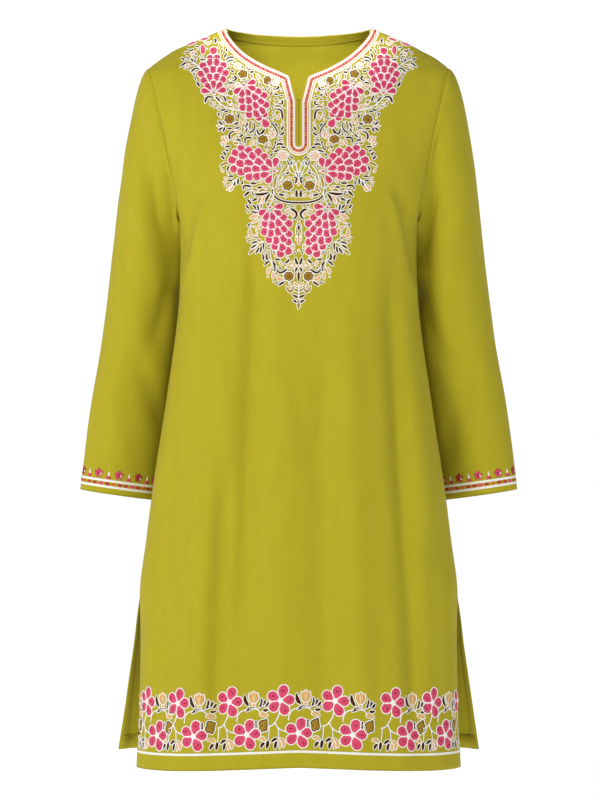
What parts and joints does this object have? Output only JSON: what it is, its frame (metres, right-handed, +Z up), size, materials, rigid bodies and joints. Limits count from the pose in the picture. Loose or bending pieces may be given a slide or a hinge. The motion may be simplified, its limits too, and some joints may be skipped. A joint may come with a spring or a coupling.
{
  "type": "kurta tunic",
  "caption": "Knee-length long-sleeved kurta tunic, flared, with a slit neck, embroidered yoke, hem and cuffs and open side vents, hollow as if worn.",
  "frame": {"origin": "midway between the two neck points, at the top of the shoulder seams, where the wearer's shoulders carry the garment", "axes": "+Z up, -Y towards the front of the garment, +X towards the wearer's left"},
  "size_m": [0.5738, 0.252, 0.9587],
  "materials": {
    "green_cloth": "matte plain-weave cotton, olive green",
    "green_facing": "the same matte cotton",
    "border_thread": "embroidery thread, white, pink and peach rows",
    "white_braid": "white chain-stitched cord"
  },
  "bodies": {
    "root": {"front": "green_cloth", "back": "green_cloth", "sleeve_left": "green_cloth", "sleeve_right": "green_cloth", "neck_border": "border_thread", "back_neck_facing": "green_facing", "hem_braid": "white_braid", "cuff_braid_lower_left": "white_braid", "cuff_braid_upper_left": "white_braid", "cuff_braid_lower_right": "white_braid", "cuff_braid_upper_right": "white_braid"}
  },
  "joints": []
}
